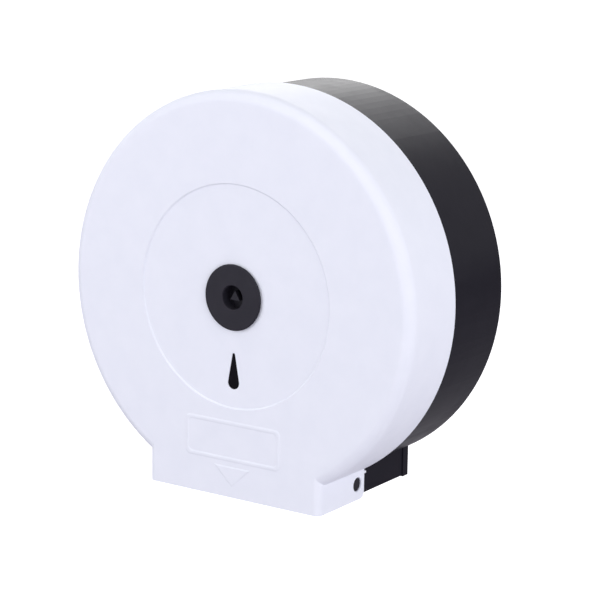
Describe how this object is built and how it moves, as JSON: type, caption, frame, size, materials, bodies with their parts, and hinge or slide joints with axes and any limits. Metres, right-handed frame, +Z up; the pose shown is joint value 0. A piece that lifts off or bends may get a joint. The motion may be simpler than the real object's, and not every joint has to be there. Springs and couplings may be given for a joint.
{
  "type": "jumbo toilet roll dispenser",
  "caption": "Wall-hung round dispenser for a jumbo toilet roll: hinged white cover with key lock and sight window, dark housing, spinning hub, paper outlet with toothed strips below.",
  "frame": {"origin": "the point where the roll's axis meets the wall, in the middle of the four wall holes", "axes": "+X to the right for a person in front of it, +Y into the wall, +Z up; the cover faces -Y"},
  "size_m": [0.27, 0.1192, 0.2713],
  "materials": {
    "cover_white": "satin injection moulded ABS, very fine texture",
    "housing_charcoal": "satin moulded ABS",
    "lock_charcoal": "fine matt moulded plastic",
    "black_plastic": "moulded, satin",
    "lens_smoke": "polished dark acrylic",
    "hub_grey": "moulded, satin",
    "washer_white": "smooth acetal",
    "zinc_steel": "zinc plated",
    "blade_steel": "stamped stainless strip"
  },
  "bodies": {
    "rear": {"rear_housing": "housing_charcoal", "spindle_post": "hub_grey", "spindle_screws": "zinc_steel", "spindle_cap": "black_plastic", "cap_screws": "zinc_steel", "thrust_washer": "washer_white", "brake_washer": "zinc_steel", "hinge_pin_left": "black_plastic", "hinge_pin_right": "black_plastic", "cutter_left": "blade_steel", "cutter_right": "blade_steel"},
    "cover": {"front_cover": "cover_white", "window_lens": "lens_smoke", "lock_bezel": "lock_charcoal", "lock_nut": "black_plastic", "lock_retainer": "zinc_steel", "retainer_screws": "zinc_steel", "lock_spring": "zinc_steel"},
    "lock": {"lock_plug": "black_plastic", "lock_tongue": "zinc_steel", "tongue_screw": "zinc_steel"},
    "hub": {"roll_hub": "hub_grey", "hub_front_cap": "black_plastic"}
  },
  "joints": [
    {"name": "cover_hinge", "type": "hinge", "parent": "rear", "child": "cover", "pos_m": [0, -0.072, -0.125], "axis": [1, 0, 0], "range_deg": [0, 100]},
    {"name": "lock_turn", "type": "hinge", "parent": "cover", "child": "lock", "pos_m": [0, -0.111, 0], "axis": [0, 1, 0], "range_deg": [0, 90]},
    {"name": "hub_spin", "type": "hinge", "parent": "rear", "child": "hub", "pos_m": [0, -0.0525, 0], "axis": [0, -1, 0], "continuous": true}
  ]
}
